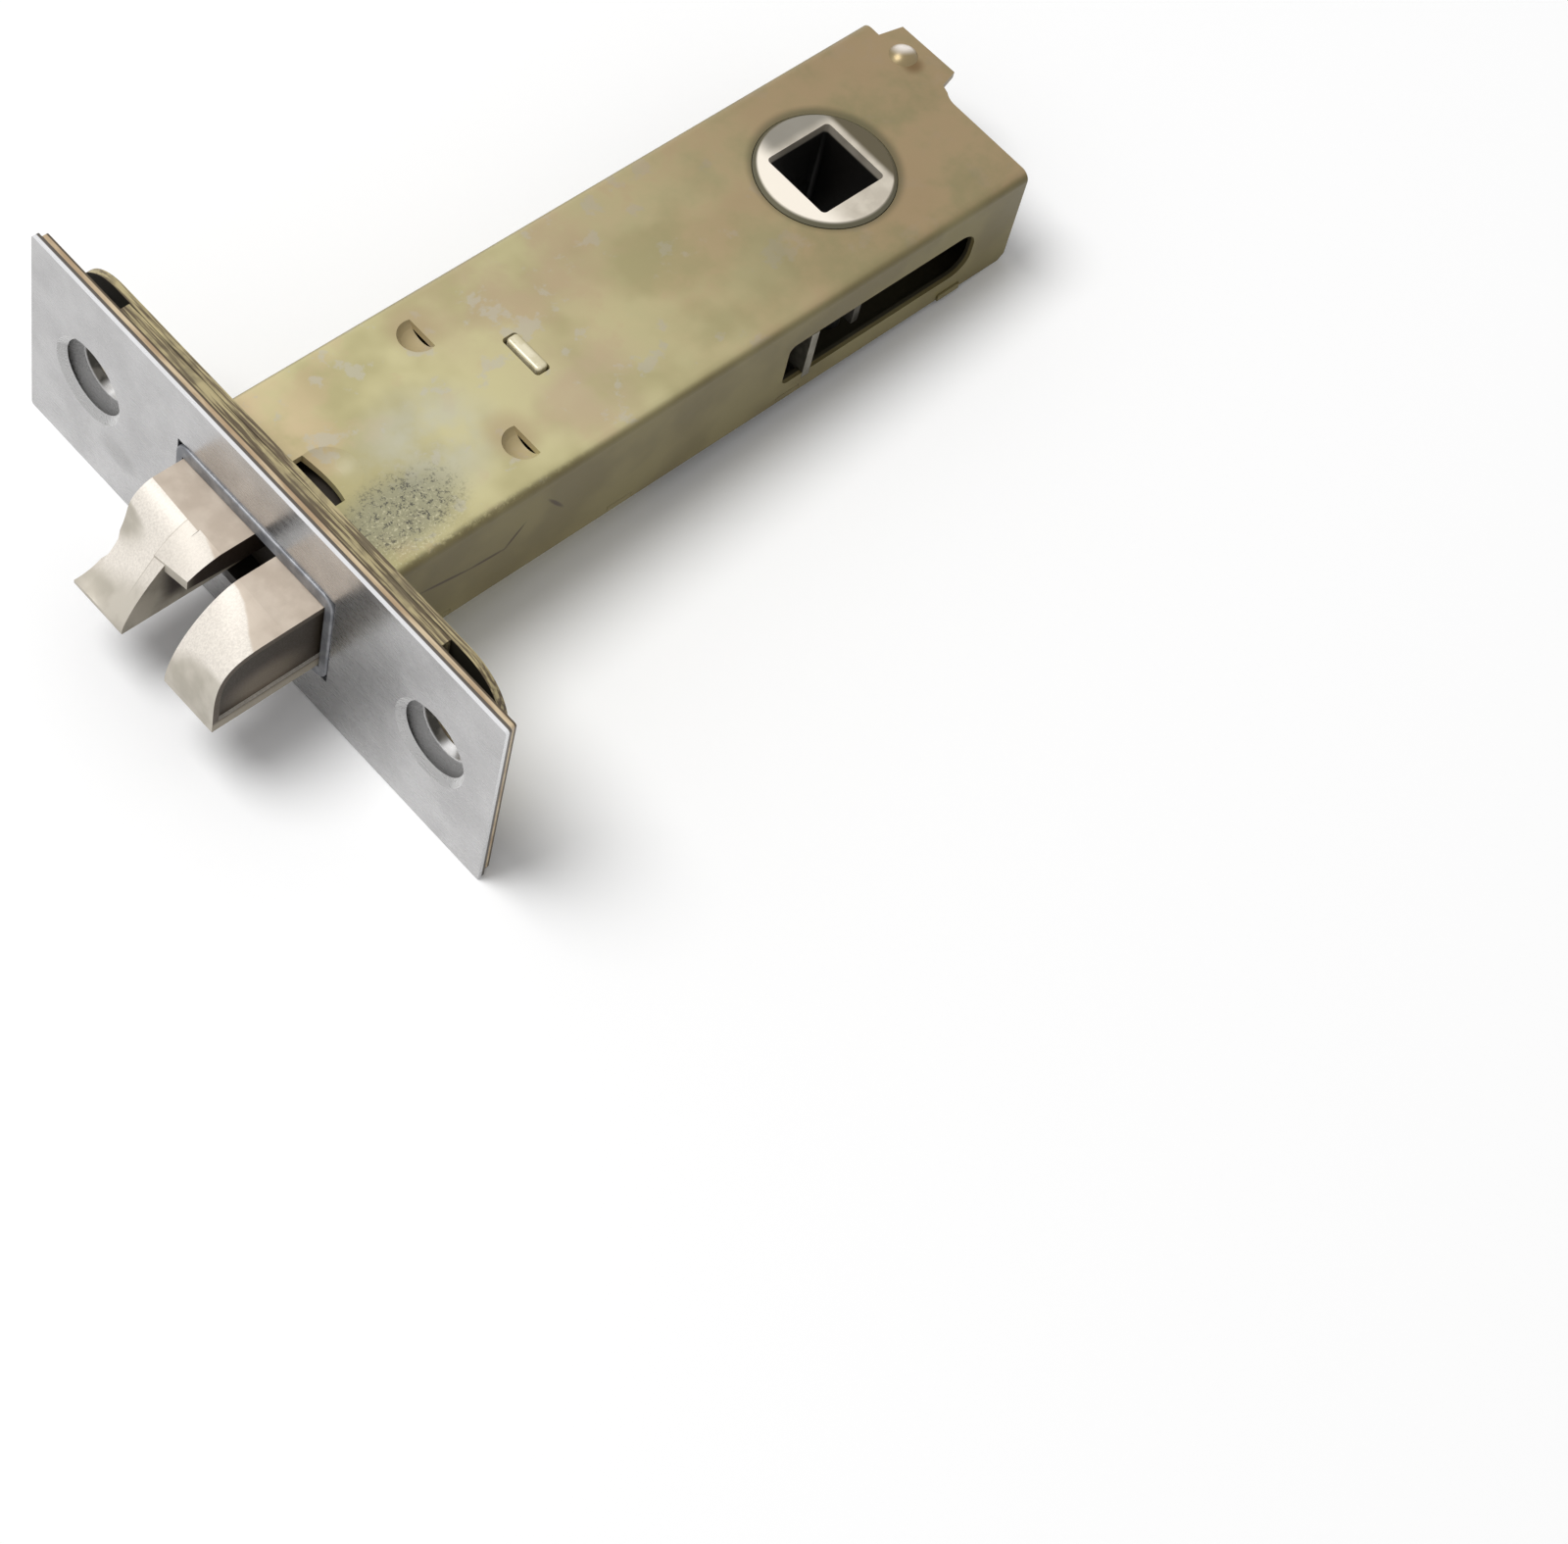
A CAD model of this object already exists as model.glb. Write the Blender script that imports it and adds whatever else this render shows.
import bpy
import bmesh
import math
from mathutils import Matrix, Vector


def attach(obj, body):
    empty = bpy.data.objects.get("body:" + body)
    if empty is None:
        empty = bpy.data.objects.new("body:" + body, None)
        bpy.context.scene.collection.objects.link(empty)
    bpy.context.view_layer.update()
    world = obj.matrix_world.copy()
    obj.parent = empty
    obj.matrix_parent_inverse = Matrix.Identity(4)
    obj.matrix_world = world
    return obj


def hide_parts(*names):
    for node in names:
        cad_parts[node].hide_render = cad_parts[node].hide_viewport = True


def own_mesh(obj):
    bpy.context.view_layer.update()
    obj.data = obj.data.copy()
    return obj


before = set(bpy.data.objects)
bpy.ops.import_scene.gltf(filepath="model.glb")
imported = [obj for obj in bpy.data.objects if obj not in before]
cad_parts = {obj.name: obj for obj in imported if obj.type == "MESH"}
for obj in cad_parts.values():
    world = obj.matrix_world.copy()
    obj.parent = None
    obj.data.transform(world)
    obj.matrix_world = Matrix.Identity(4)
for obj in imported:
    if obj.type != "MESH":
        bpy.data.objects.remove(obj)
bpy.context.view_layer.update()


# Case top and side walls: one folded steel sheet, zinc plated and passivated to a
# patchy olive yellow, with pinkish and bluish clouds, and browner towards the back.
# Wear and white corrosion sit by the front corner of the top.
class Finish:
    """Node material that is wired up one node at a time."""

    def __init__(self, name, roughness, metallic):
        self.material = bpy.data.materials.new(name)
        self.material.use_nodes = True
        self.tree = self.material.node_tree
        self.shader = self.tree.nodes["Principled BSDF"]
        self.shader.inputs["Roughness"].default_value = roughness
        self.shader.inputs["Metallic"].default_value = metallic
        self.place = self.tree.nodes.new("ShaderNodeTexCoord").outputs["Object"]
        self.axes = self.tree.nodes.new("ShaderNodeSeparateXYZ")
        self.join(self.place, self.axes.inputs[0])

    def join(self, source, target):
        if isinstance(source, (int, float)):
            target.default_value = source
        else:
            self.tree.links.new(source, target)

    def noise(self, size_mm, detail=4.0, rough=0.55, stretch=(1, 1, 1), shift=0.0):
        """Cloudy pattern of about size_mm; a larger stretch squeezes it along that axis."""
        mapping = self.tree.nodes.new("ShaderNodeMapping")
        mapping.inputs["Scale"].default_value = [1000 / size_mm * s for s in stretch]
        mapping.inputs["Location"].default_value = (shift, shift * 0.7, shift * 0.3)
        self.join(self.place, mapping.inputs["Vector"])
        noise = self.tree.nodes.new("ShaderNodeTexNoise")
        noise.inputs["Scale"].default_value = 1.0
        noise.inputs["Detail"].default_value = detail
        noise.inputs["Roughness"].default_value = rough
        self.join(mapping.outputs[0], noise.inputs["Vector"])
        return noise.outputs[0]

    def ramp(self, value, low, high, out_low=0.0, out_high=1.0):
        """Runs smoothly from out_low at low to out_high at high; low may be the larger one."""
        node = self.tree.nodes.new("ShaderNodeMapRange")
        node.interpolation_type = "SMOOTHSTEP"
        self.join(value, node.inputs[0])
        for i, v in enumerate((low, high, out_low, out_high)):
            node.inputs[i + 1].default_value = v
        return node.outputs[0]

    def math(self, kind, a, b=0.0):
        node = self.tree.nodes.new("ShaderNodeMath")
        node.operation = kind
        self.join(a, node.inputs[0])
        self.join(b, node.inputs[1])
        return node.outputs[0]

    def times(self, a, b):
        return self.math("MULTIPLY", a, b)

    def spot(self, centre_mm, size_mm, soft=0.5, turn=0.0):
        """1 inside an ellipsoid of these half sizes, turned about Y, fading to 0 outside it."""
        mapping = self.tree.nodes.new("ShaderNodeMapping")
        mapping.vector_type = "TEXTURE"
        mapping.inputs["Location"].default_value = [c / 1000 for c in centre_mm]
        mapping.inputs["Rotation"].default_value = (0, turn, 0)
        mapping.inputs["Scale"].default_value = [s / 1000 for s in size_mm]
        self.join(self.place, mapping.inputs["Vector"])
        length = self.tree.nodes.new("ShaderNodeVectorMath")
        length.operation = "LENGTH"
        self.join(mapping.outputs[0], length.inputs[0])
        return self.ramp(length.outputs["Value"], 1.0 - soft, 1.0 + soft, 1.0, 0.0)

    def facing(self):
        """The X, Y and Z of the surface's own direction."""
        parts = self.tree.nodes.new("ShaderNodeSeparateXYZ")
        self.join(self.tree.nodes["Texture Coordinate"].outputs["Normal"], parts.inputs[0])
        return parts.outputs

    def blend(self, amount, first, second):
        """Colour that runs from first to second."""
        node = self.tree.nodes.new("ShaderNodeMix")
        node.data_type = "RGBA"
        self.join(amount, node.inputs[0])
        for colour, socket in ((first, node.inputs[6]), (second, node.inputs[7])):
            if isinstance(colour, tuple):
                socket.default_value = (*colour, 1.0)
            else:
                self.join(colour, socket)
        return node.outputs[2]

    def paint(self, colour, roughness=None):
        self.join(colour, self.shader.inputs["Base Color"])
        if roughness is not None:
            self.join(roughness, self.shader.inputs["Roughness"])

    def bump(self, height, depth_mm, strength=1.0, normal=None):
        node = self.tree.nodes.new("ShaderNodeBump")
        node.inputs["Strength"].default_value = strength
        node.inputs["Distance"].default_value = depth_mm / 1000
        self.join(height, node.inputs["Height"])
        if normal is not None:
            self.join(normal, node.inputs["Normal"])
        self.join(node.outputs[0], self.shader.inputs["Normal"])


def dress(node, finish):
    """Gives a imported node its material."""
    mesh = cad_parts[node].data
    mesh.materials.clear()
    mesh.materials.append(finish.material)
    mesh.polygons.foreach_set("material_index", [0] * len(mesh.polygons))


olive = ((0.430, 0.385, 0.195), (0.560, 0.510, 0.280))
pinkish = (0.520, 0.405, 0.240)
bluish_grey = (0.490, 0.465, 0.390)
far_brown = ((0.215, 0.175, 0.085), (0.290, 0.205, 0.110))
wall_olive = ((0.150, 0.120, 0.045), (0.205, 0.172, 0.075))
lance_brown = (0.400, 0.300, 0.175)
corroded = (0.290, 0.280, 0.185)
pitted = (0.060, 0.058, 0.048)
white_rust = (0.640, 0.600, 0.400)
rubbed_bend = (0.085, 0.072, 0.035)
score_brown = (0.045, 0.025, 0.010)
inner_dark = (0.040, 0.035, 0.020)
foot_dirt = (0.085, 0.075, 0.035)
rivet_rust = (0.130, 0.070, 0.020)
top_mm = 5.6
wall_mm = 12.1
cloud_spots = (((-7.0, -7.5, top_mm), (4.5, 6.0, 3.0), (0.640, 0.500, 0.310)),
               ((-17.5, 2.5, top_mm), (6.0, 5.0, 3.0), (0.500, 0.490, 0.390)),
               ((-37.0, -7.5, top_mm), (11.0, 6.5, 3.0), (0.450, 0.350, 0.220)),
               ((-34.0, 6.0, top_mm), (6.0, 5.0, 3.0), (0.480, 0.385, 0.250)))
score_line = (((-9.4, 0.64), (-15.3, -0.6)), ((-15.3, -0.6), (-19.5, -1.0)),
              ((-19.5, -1.0), (-21.6, 1.2)), ((-24.5, 2.65), (-26.4, 0.1)))

zinc = Finish("passivated_case", 0.42, 0.0)
zinc.shader.inputs["Specular IOR Level"].default_value = 0.3
clouds = zinc.noise(11.0, 3.0, 0.5)
pink = zinc.noise(7.0, 4.0, 0.6, shift=11.0)
bluish = zinc.noise(3.2, 4.0, 0.6, shift=5.0)
speck = zinc.noise(0.30, 4.0, 0.75, shift=3.0)
grit = zinc.noise(0.60, 5.0, 0.85, shift=13.0)
x, y, z = zinc.axes.outputs
across = zinc.math("ABSOLUTE", y)
to_back = zinc.ramp(x, -0.018, -0.078)
colour = zinc.blend(zinc.ramp(clouds, 0.40, 0.60), *olive)
colour = zinc.blend(zinc.ramp(pink, 0.54, 0.66, 0.0, 0.5), colour, pinkish)
for centre, size, tone in cloud_spots:
    cloud = zinc.times(zinc.spot(centre, size, 0.6), zinc.ramp(pink, 0.30, 0.60))
    colour = zinc.blend(zinc.times(cloud, 0.75), colour, tone)
colour = zinc.blend(zinc.ramp(bluish, 0.57, 0.64, 0.0, 0.55), colour, bluish_grey)
far_tone = zinc.blend(zinc.ramp(pink, 0.35, 0.62), *far_brown)
colour = zinc.blend(zinc.times(to_back, 0.92), colour, far_tone)
for centre in ((-24.7, -8.4, top_mm), (-24.4, 6.2, top_mm)):
    tint = zinc.spot(centre, (2.4, 2.7, 2.5), 0.45)
    colour = zinc.blend(zinc.times(tint, 0.6), colour, lance_brown)
patch = zinc.spot((-10.6, 6.9, top_mm), (6.2, 3.5, 3.0), 0.4)
colour = zinc.blend(zinc.times(patch, 0.85), colour, corroded)
pits = zinc.times(patch, zinc.ramp(grit, 0.53, 0.59))
colour = zinc.blend(zinc.times(pits, 0.9), colour, pitted)
powder = zinc.spot((-9.5, 8.6, top_mm), (6.5, 3.6, 3.0), 0.5)
powder = zinc.times(powder, zinc.ramp(speck, 0.54, 0.62))
colour = zinc.blend(zinc.times(powder, 0.6), colour, white_rust)
rubbed = zinc.spot((-16.0, 11.7, 5.1), (18.0, 0.70, 1.2), 0.35)
rubbed = zinc.times(rubbed, zinc.ramp(grit, 0.38, 0.52))
colour = zinc.blend(zinc.times(rubbed, 0.9), colour, rubbed_bend)
side = zinc.ramp(across, 0.0114, 0.0120)
wall = zinc.blend(zinc.ramp(clouds, 0.40, 0.60), *wall_olive)
for (x0, z0), (x1, z1) in score_line:
    middle = ((x0 + x1) / 2, wall_mm, (z0 + z1) / 2)
    half = math.hypot(x1 - x0, z1 - z0) / 2
    score = zinc.spot(middle, (half, 1.5, 0.19), 0.5, math.atan2(z0 - z1, x1 - x0))
    wall = zinc.blend(zinc.times(score, 0.9), wall, score_brown)
colour = zinc.blend(side, colour, wall)
low = zinc.ramp(z, 0.0046, 0.0040)
within_walls = zinc.ramp(across, 0.0118, 0.0116)
rear_half = zinc.ramp(x, -0.038, -0.042)
inner = zinc.times(within_walls, zinc.times(low, rear_half))
colour = zinc.blend(inner, colour, inner_dark)
foot = zinc.spot((-70.3, -0.2, 5.8), (7.9, 7.9, 3.0), 0.07)
colour = zinc.blend(zinc.times(foot, 0.75), colour, foot_dirt)
stain = zinc.spot((-86.9, -4.9, top_mm), (1.1, 1.0, 1.5), 0.5)
colour = zinc.blend(zinc.times(stain, 0.8), colour, rivet_rust)
zinc.paint(colour, zinc.ramp(clouds, 0.3, 0.7, 0.36, 0.5))
zinc.bump(zinc.noise(0.5, 2.0, 0.6, shift=8.0), 0.01, 0.5)
for node in ("case_shell", "case_floor"):
    dress(node, zinc)

# Ear plate, spacer and rivets: the same plated steel, but their sheared edges stay
# dark brown with olive streaks along the length of the plates. The broad face behind
# keeps its plating, and the face that lies in the stack of plates is black.
streak_tones = ((0.090, 0.062, 0.030), (0.430, 0.360, 0.190))
edge_dirt = (0.110, 0.085, 0.045)
plated_olive = ((0.340, 0.290, 0.150), (0.480, 0.430, 0.235))
stack_black = (0.020, 0.018, 0.012)
sheared = Finish("sheared_edges", 0.5, 0.0)
streaks = sheared.noise(0.9, 4.0, 0.65, stretch=(3.0, 0.12, 1))
dirt = sheared.noise(3.0, 3.0, 0.5, shift=6.0)
edge_tone = sheared.blend(sheared.ramp(streaks, 0.42, 0.58), *streak_tones)
edge_tone = sheared.blend(sheared.ramp(dirt, 0.50, 0.70, 0.0, 0.7), edge_tone, edge_dirt)
side_x = sheared.facing()[0]
plating = sheared.noise(7.0, 4.0, 0.6, shift=2.0)
broad = sheared.blend(sheared.ramp(plating, 0.38, 0.62), *plated_olive)
edge_tone = sheared.blend(sheared.ramp(side_x, -0.7, -0.9), edge_tone, broad)
edge_tone = sheared.blend(sheared.ramp(side_x, 0.7, 0.9), edge_tone, stack_black)
sheared.paint(edge_tone)
sheared.bump(streaks, 0.02, 0.5)
for node in ("ear_plate", "spacer_plate", "plate_rivets"):
    dress(node, sheared)

# Inner plate behind the face: the same plated sheet, a cleaner peach and straw on its
# sawn edges, with dirt in the joints to the plates on both sides.
straw_tones = ((0.400, 0.280, 0.165), (0.620, 0.500, 0.330))
joint_dirt = (0.070, 0.048, 0.025)
straw = Finish("inner_plate_edge", 0.42, 0.1)
straw_grain = straw.noise(2.5, 4.0, 0.6, stretch=(3, 0.4, 1))
depth = straw.axes.outputs[0]
layer = straw.blend(straw.ramp(straw_grain, 0.35, 0.65), *straw_tones)
front_joint = straw.ramp(depth, -0.00092, -0.00084)
back_joint = straw.ramp(depth, -0.00126, -0.00134)
straw.paint(straw.blend(straw.math("MAXIMUM", front_joint, back_joint), layer, joint_dirt))
straw.bump(straw_grain, 0.01, 0.4)
dress("inner_plate", straw)

# Front plate: thin stainless sheet with a fine satin grain and a bright sheared edge,
# its two screw dishes formed in a press. The real dishes are smaller than the solid's,
# so the outer part of each slope is shaded as level as the face round it.
screw_y = 0.0245
face_greys = ((0.430, 0.425, 0.425), (0.505, 0.50, 0.50))
smudge_grey = (0.24, 0.235, 0.23)
dish_tones = ((0.040, 0.038, 0.033), (0.820, 0.810, 0.800))
dish_dirt = (0.210, 0.195, 0.170)
lip_tones = ((0.74, 0.74, 0.75), (0.13, 0.115, 0.10))
level_grey = (0.690, 0.685, 0.680)
satin = Finish("satin_front", 0.26, 0.92)
grain = satin.noise(0.35, 3.0, 0.6, stretch=(1, 0.15, 1))
mottle = satin.noise(5.0, 3.0, 0.5, shift=4.0)
sheen = satin.blend(satin.ramp(mottle, 0.3, 0.7), *face_greys)
smudge = satin.times(satin.spot((0, -19.8, -6.2), (3, 2.4, 1.6), 0.5), 0.35)
sheen = satin.blend(smudge, sheen, smudge_grey)
side_x = satin.facing()[0]
x, y, z = satin.axes.outputs
offset = satin.math("SUBTRACT", satin.math("ABSOLUTE", y), screw_y)
aside = satin.times(offset, satin.ramp(y, -0.0001, 0.0001, -1.0, 1.0))
radius = satin.math("SQRT", satin.math("ADD", satin.times(offset, offset), satin.times(z, z)))
slant = satin.math("SUBTRACT", aside, satin.times(z, 0.45))
tone = satin.noise(1.8, 2.0, 0.5, shift=17.0)
dish = satin.blend(satin.ramp(slant, 0.0002, 0.0016), *dish_tones)
dish = satin.blend(satin.ramp(tone, 0.45, 0.62, 0.0, 0.4), dish, dish_dirt)
in_dish = satin.times(satin.ramp(radius, 0.00340, 0.00315), satin.ramp(side_x, 0.99, 0.97))
outward = satin.ramp(side_x, 0.30, 0.55)
lip_tone = satin.blend(satin.ramp(x, -0.00036, -0.00046), *lip_tones)
sheen = satin.blend(in_dish, satin.blend(outward, lip_tone, sheen), dish)
slope_ring = satin.times(satin.times(satin.ramp(radius, 0.00320, 0.00345), outward),
                         satin.ramp(side_x, 0.99, 0.97))
sheen = satin.blend(slope_ring, sheen, level_grey)
satin.paint(sheen, satin.ramp(grain, 0.3, 0.7, 0.25, 0.31))
satin.join(satin.ramp(slope_ring, 0.0, 1.0, 0.92, 0.35), satin.shader.inputs["Metallic"])
level = satin.tree.nodes.new("ShaderNodeMix")
level.data_type = "VECTOR"
own_normal = satin.tree.nodes.new("ShaderNodeNewGeometry").outputs["Normal"]
satin.join(slope_ring, level.inputs[0])
satin.join(own_normal, level.inputs[4])
level.inputs[5].default_value = (1.0, 0.0, 0.0)
satin.bump(grain, 0.002, 0.4, level.outputs[1])
dress("front_plate", satin)

# Guide collar of the bolt: a bluish steel sleeve, set into the plates, that shows as a
# narrow rim round the bolt. Grease blackens it where the fork opens.
blued_tones = ((0.165, 0.17, 0.185), (0.27, 0.275, 0.29))
collar_grease = (0.030, 0.026, 0.022)
blued = Finish("blued_collar", 0.45, 0.4)
blued_mottle = blued.noise(1.6, 3.0, 0.6)
blued_tone = blued.blend(blued.ramp(blued_mottle, 0.35, 0.65), *blued_tones)
greasy = blued.spot((0, -0.2, -5.0), (6.0, 4.2, 4.0), 0.2)
blued.paint(blued.blend(greasy, blued_tone, collar_grease))
blued.bump(blued_mottle, 0.01, 0.4)
dress("bolt_collar", blued)

# Bolt head: nickel plated zinc casting. Its flats are worn beige, the bevels pale and
# sandy and the noses grey, and grease darkens the side panels and the slot under the ledge.
bevel_sand = ((0.660, 0.612, 0.548), (0.800, 0.748, 0.675))
shelf_beige = (0.450, 0.410, 0.350)
seam_brown = (0.300, 0.260, 0.200)
nose_grey = ((0.430, 0.395, 0.330), (0.530, 0.490, 0.420))
flat_beige = ((0.470, 0.395, 0.320), (0.570, 0.490, 0.405))
flank_olive = ((0.300, 0.270, 0.215), (0.420, 0.380, 0.310))
fork_grease = (0.030, 0.016, 0.010)
panel_tones = ((0.040, 0.030, 0.020), (0.150, 0.120, 0.085))
rim_tones = ((0.090, 0.070, 0.050), (0.330, 0.290, 0.225))
under_brown = (0.060, 0.040, 0.025)
inside_dark = (0.030, 0.024, 0.018)
nickel = Finish("nickel_casting", 0.55, 0.15)
nickel.shader.inputs["Specular IOR Level"].default_value = 0.3
sand = nickel.noise(0.24, 4.0, 0.75)
haze = nickel.noise(3.0, 3.0, 0.5, shift=2.0)
x, y, z = nickel.axes.outputs
side_x, side_y, side_z = nickel.facing()
cast = nickel.blend(nickel.ramp(sand, 0.35, 0.65), *bevel_sand)
shelf = nickel.times(nickel.ramp(y, -0.00485, -0.00475), nickel.ramp(y, 0.0002, 0.0001))
cast = nickel.blend(nickel.times(shelf, 0.22), cast, shelf_beige)
seam = nickel.times(nickel.ramp(y, -0.00492, -0.00484), nickel.ramp(y, -0.00472, -0.00480))
cast = nickel.blend(nickel.times(seam, 0.45), cast, seam_brown)
left_tip = nickel.times(nickel.ramp(x, 0.0088, 0.0108), nickel.ramp(y, -0.002, -0.003))
nose = nickel.math("MAXIMUM", nickel.ramp(side_z, 0.52, 0.34), left_tip)
cast = nickel.blend(nose, cast, nickel.blend(nickel.ramp(haze, 0.35, 0.65), *nose_grey))
flat = nickel.times(nickel.ramp(side_z, 0.980, 0.987), nickel.ramp(z, 0.0033, 0.0036))
cast = nickel.blend(flat, cast, nickel.blend(nickel.ramp(haze, 0.35, 0.65), *flat_beige))
flank = nickel.ramp(nickel.math("ABSOLUTE", side_y), 0.8, 0.95)
inner_flank = nickel.blend(nickel.ramp(haze, 0.35, 0.65), *flank_olive)
grease = nickel.times(nickel.ramp(x, 0.0085, 0.0065), nickel.ramp(z, -0.0050, -0.0030))
inner_flank = nickel.blend(nickel.times(grease, 0.95), inner_flank, fork_grease)
panel = nickel.blend(nickel.spot((6.2, 9.4, -2.6), (3.6, 2.0, 2.0), 0.6), *panel_tones)
rim = nickel.ramp(nickel.math("ABSOLUTE", y), 0.00952, 0.00958)
rim_tone = nickel.blend(nickel.ramp(z, -0.0040, -0.0047), *rim_tones)
panel = nickel.blend(rim, panel, rim_tone)
outer = nickel.ramp(nickel.math("ABSOLUTE", y), 0.0080, 0.0085)
cast = nickel.blend(flank, cast, nickel.blend(outer, inner_flank, panel))
under = nickel.ramp(side_z, -0.5, -0.8)
cast = nickel.blend(under, cast, under_brown)
inside = nickel.ramp(x, -0.0002, -0.0022)
cast = nickel.blend(inside, cast, inside_dark)
nickel.paint(cast, nickel.ramp(sand, 0.3, 0.7, 0.40, 0.55))
nickel.bump(sand, 0.02, 0.5)
dress("bolt_head", nickel)

# Hub: zinc die casting that turns in the case top and floor. It is bright on the front
# of the ring that stands out of the case, greyer to one side and dark towards the back
# and round its rim, and black inside the case.
ring_tones = ((0.500, 0.450, 0.370), (0.600, 0.545, 0.455))
ring_bright = (0.900, 0.830, 0.720)
ring_grey = (0.230, 0.215, 0.180)
ring_dark = (0.100, 0.082, 0.045)
rim_dark = (0.110, 0.100, 0.060)
hub_black = (0.012, 0.011, 0.010)
die_cast = Finish("hub_casting", 0.36, 0.4)
hub_haze = die_cast.noise(2.2, 3.0, 0.6)
x, y, z = die_cast.axes.outputs
ring = die_cast.blend(die_cast.ramp(hub_haze, 0.35, 0.65), *ring_tones)
ring = die_cast.blend(die_cast.ramp(x, -0.0685, -0.0655), ring, ring_bright)
upper = die_cast.times(die_cast.ramp(y, -0.0036, -0.0052), die_cast.ramp(x, -0.0655, -0.0680))
ring = die_cast.blend(die_cast.times(upper, 0.9), ring, ring_grey)
ring = die_cast.blend(die_cast.ramp(x, -0.0744, -0.0752), ring, ring_dark)
hub_face = die_cast.spot((-70.0, 0, 6.0), (6.80, 6.80, 40.0), 0.02)
ring = die_cast.blend(hub_face, rim_dark, ring)
deep = die_cast.ramp(die_cast.math("ABSOLUTE", z), 0.0060, 0.0056)
ring = die_cast.blend(deep, ring, hub_black)
die_cast.paint(ring)
die_cast.bump(hub_haze, 0.02, 0.4)
dress("hub", die_cast)

# Seat plate, which shows in the side windows and is held there by its two ears, and the
# two coil springs: steel dulled by oil and dust.
steel_tones = ((0.17, 0.155, 0.12), (0.28, 0.26, 0.21))
steel = Finish("plain_steel", 0.35, 0.7)
steel_haze = steel.noise(1.5, 3.0, 0.6, shift=7.0)
steel.paint(steel.blend(steel.ramp(steel_haze, 0.35, 0.65), *steel_tones))
steel.bump(steel_haze, 0.01, 0.4)
for node in ("seat_plate", "bolt_spring", "return_spring"):
    dress(node, steel)

# Retractor, shank, pin and washers: steel stampings and turned pieces inside the case,
# black with old oil. The pin holds the shank in the bolt, and the shank runs through the
# bolt washer and the retractor's bridge.
oily_tones = ((0.075, 0.070, 0.058), (0.150, 0.140, 0.120))
oily = Finish("oily_steel", 0.40, 0.5)
oily_haze = oily.noise(1.8, 3.0, 0.6, shift=12.0)
oily.paint(oily.blend(oily.ramp(oily_haze, 0.35, 0.65), *oily_tones))
oily.bump(oily_haze, 0.01, 0.4)
for node in ("retractor", "seat_washer", "bolt_washer", "bolt_shank", "shank_pin"):
    dress(node, oily)

# Tail rivet: steel, and it joins the case top to the floor. Its small domed head is
# worn bright on top and olive round its foot.
dome_tones = ((0.250, 0.190, 0.095), (0.800, 0.740, 0.680))
dome = Finish("tail_rivet", 0.34, 0.5)
crown = dome.spot((-87.5, -7.0, 6.3), (1.15, 1.0, 1.2), 0.4)
dome.paint(dome.blend(crown, *dome_tones))
dress("tab_rivet", dome)

# Spring plate: steel, zinc plated like the case and staked into a slot of its top. The
# stake is worn bright where it was peened, and the plate is dark inside the case.
stake_tones = ((0.36, 0.31, 0.155), (0.74, 0.68, 0.50))
stake_olive = (0.46, 0.40, 0.22)
plate_dark = (0.120, 0.100, 0.045)
staked = Finish("staked_plate", 0.36, 0.25)
stake_haze = staked.noise(1.2, 3.0, 0.6, shift=9.0)
x, y, z = staked.axes.outputs
stake = staked.blend(staked.ramp(x, -0.0324, -0.0317), *stake_tones)
stake = staked.blend(staked.ramp(stake_haze, 0.45, 0.60, 0.0, 0.4), stake, stake_olive)
stake = staked.blend(staked.ramp(z, 0.0058, 0.0056), stake, plate_dark)
staked.paint(stake)
staked.bump(stake_haze, 0.02, 0.5)
dress("spring_plate", staked)


# Bolt spring: a coil of steel wire between the bolt's back and the washer on the
# spring plate. Its first and last turns lie closed, and it shortens as the bolt draws.
def coil(name, start, end, mean_r, wire_r, turns):
    axis_z = -0.000775
    steps = 28
    wire_sides = 10
    work = bmesh.new()
    bmesh.ops.create_circle(work, cap_ends=True, radius=wire_r, segments=wire_sides)
    seat = start + wire_r
    bmesh.ops.translate(work, verts=work.verts, vec=(seat, mean_r, axis_z))
    closed = 2 * wire_r
    open_lead = (end - start - 2 * wire_r - 2 * closed) / (turns - 2)
    geometry = work.verts[:] + work.edges[:] + work.faces[:]
    for lead, count in ((closed, 1), (open_lead, turns - 2), (closed, 1)):
        made = bmesh.ops.spin(work, geom=geometry, cent=(0, 0, axis_z), axis=(1, 0, 0),
                              dvec=(lead / steps, 0, 0), angle=2 * math.pi * count,
                              steps=steps * count)
        geometry = made["geom_last"]
    bmesh.ops.recalc_face_normals(work, faces=work.faces)
    for face in work.faces:
        face.smooth = len(face.verts) == 4
    mesh = bpy.data.meshes.new(name)
    work.to_mesh(mesh)
    work.free()
    piece = bpy.data.objects.new(name, mesh)
    bpy.context.scene.collection.objects.link(piece)
    mesh.materials.append(steel.material)
    return piece


bolt_coil = coil("bolt_coil", start=-0.03028, end=-0.01302, mean_r=0.003625,
                 wire_r=0.00035, turns=8)
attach(bolt_coil, "case")
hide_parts("bolt_spring")
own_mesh(bolt_coil)

# Return spring: a heavier coil of steel wire between the seat washer and the
# retractor's bridge, squeezed as the bridge is drawn back.
return_coil = coil("return_coil", start=-0.05748, end=-0.03362, mean_r=0.003975,
                   wire_r=0.00045, turns=9)
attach(return_coil, "case")
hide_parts("return_spring")
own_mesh(return_coil)

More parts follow.
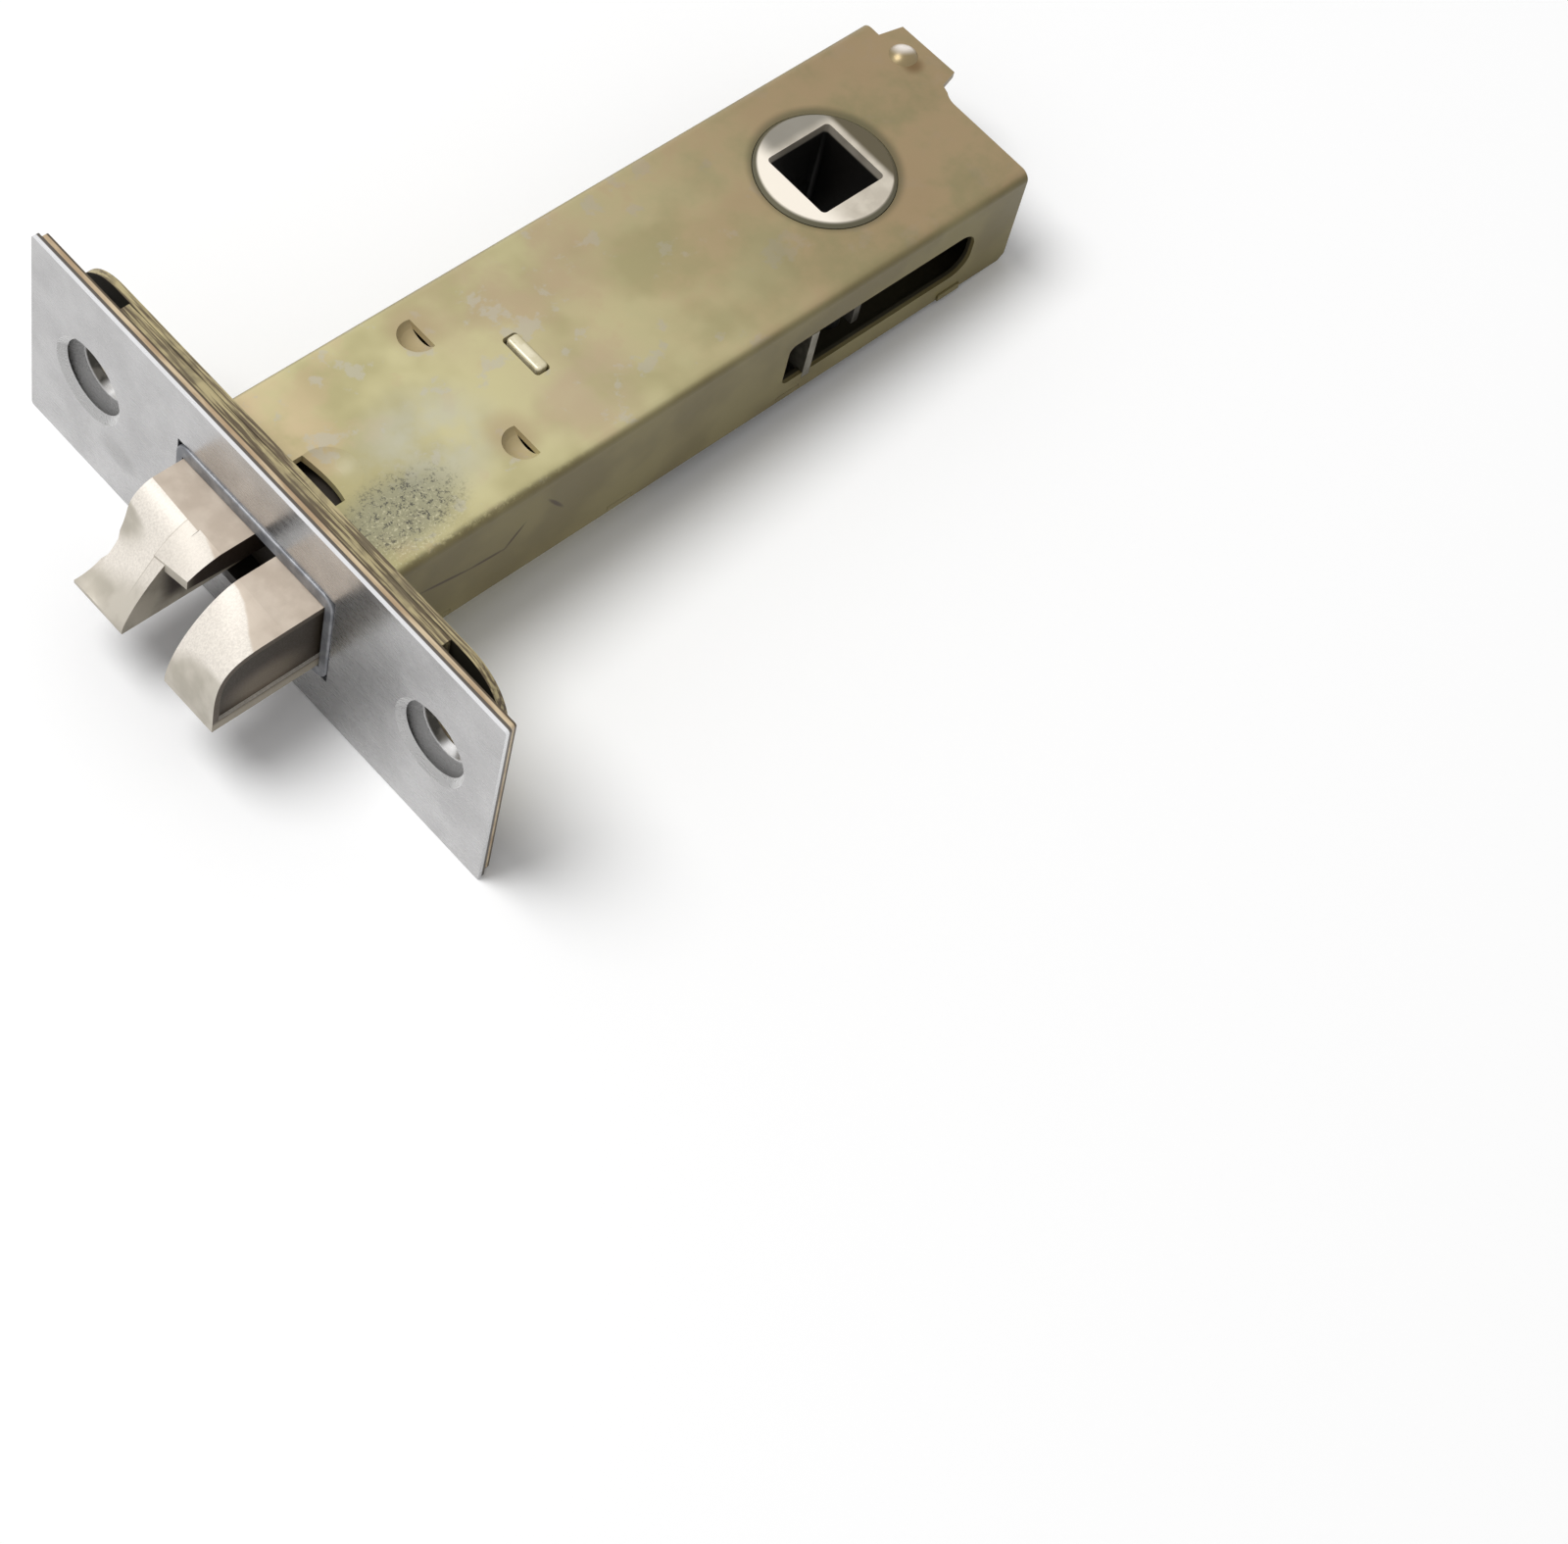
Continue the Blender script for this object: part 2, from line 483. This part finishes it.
# Floor: pale and plain. The latch lies on the lower edge of its front plate and on the
# far end of the case, so the floor is tilted a few degrees against the frame.
floor_half = 3.0
floor_gap = 0.00002
front_edge = Vector((-0.0007, 0, -0.0125))
far_edge = Vector((-0.0861, 0, -0.0064))
slope = math.atan2(far_edge.z - front_edge.z, front_edge.x - far_edge.x)
floor_mesh = bpy.data.meshes.new("floor")
floor_work = bmesh.new()
bmesh.ops.create_grid(floor_work, x_segments=1, y_segments=1, size=floor_half)
bmesh.ops.rotate(floor_work, verts=floor_work.verts, matrix=Matrix.Rotation(slope, 3, "Y"))
bmesh.ops.translate(floor_work, verts=floor_work.verts, vec=front_edge - Vector((0, 0, floor_gap)))
floor_work.to_mesh(floor_mesh)
floor_work.free()
floor = bpy.data.objects.new("floor", floor_mesh)
bpy.context.scene.collection.objects.link(floor)
floor_finish = bpy.data.materials.new("pale_floor")
floor_finish.use_nodes = True
floor_shader = floor_finish.node_tree.nodes["Principled BSDF"]
floor_shader.inputs["Base Color"].default_value = (0.96, 0.96, 0.96, 1)
floor_shader.inputs["Roughness"].default_value = 0.9
floor_mesh.materials.append(floor_finish)

# Soft studio light: a pale room, dimmer as a lamp than it looks to the camera and in
# reflections, and one round panel high above, a little to the front and left.
room_light = 0.44
room_seen = 1.0
scene = bpy.context.scene
scene.view_settings.view_transform = "Standard"
world = bpy.data.worlds.new("room")
scene.world = world
world.use_nodes = True
world_tree = world.node_tree
background = world_tree.nodes["Background"]
background.inputs["Color"].default_value = (1, 1, 1, 1)
paths = world_tree.nodes.new("ShaderNodeLightPath")
seen = paths.outputs["Is Camera Ray"]
for kind in ("Is Glossy Ray", "Is Transmission Ray"):
    either = world_tree.nodes.new("ShaderNodeMath")
    either.operation = "MAXIMUM"
    world_tree.links.new(seen, either.inputs[0])
    world_tree.links.new(paths.outputs[kind], either.inputs[1])
    seen = either.outputs[0]
strength = world_tree.nodes.new("ShaderNodeMapRange")
strength.inputs[3].default_value = room_light
strength.inputs[4].default_value = room_seen
world_tree.links.new(seen, strength.inputs[0])
world_tree.links.new(strength.outputs[0], background.inputs["Strength"])

key_place = Vector((0.46, -0.52, 1.42))
key_aim = Vector((-0.03, 0, 0))
key_lamp = bpy.data.lights.new("key", "AREA")
key_lamp.shape = "DISK"
key_lamp.size = 0.95
key_lamp.energy = 18.5
key = bpy.data.objects.new("key", key_lamp)
key.location = key_place
key.rotation_mode = "QUATERNION"
key.rotation_quaternion = (key_aim - key_place).to_track_quat("-Z", "Y")
scene.collection.objects.link(key)

# Camera at the photograph's place and angle, both solved from the latch's edges in it.
# The focal length is in pixels of the photograph.
photo_width = 1600
focal_length = 3838.04
camera_data = bpy.data.cameras.new("camera")
camera_data.sensor_fit = "HORIZONTAL"
camera_data.sensor_width = 36.0
camera_data.lens = 36.0 * focal_length / photo_width
camera_data.clip_start = 0.01
camera = bpy.data.objects.new("camera", camera_data)
eye = (0.13189895, 0.14397445, 0.28258970)
right = Vector((-0.72404536, 0.66951572, 0.16585239))
down = Vector((0.51298919, 0.68343261, -0.51938613))
ahead = Vector((-0.46108611, -0.29097864, -0.83829054))
turn = Matrix((right, -down, -ahead)).transposed()
camera.matrix_world = Matrix.Translation(eye) @ turn.to_4x4()
scene.collection.objects.link(camera)
scene.camera = camera
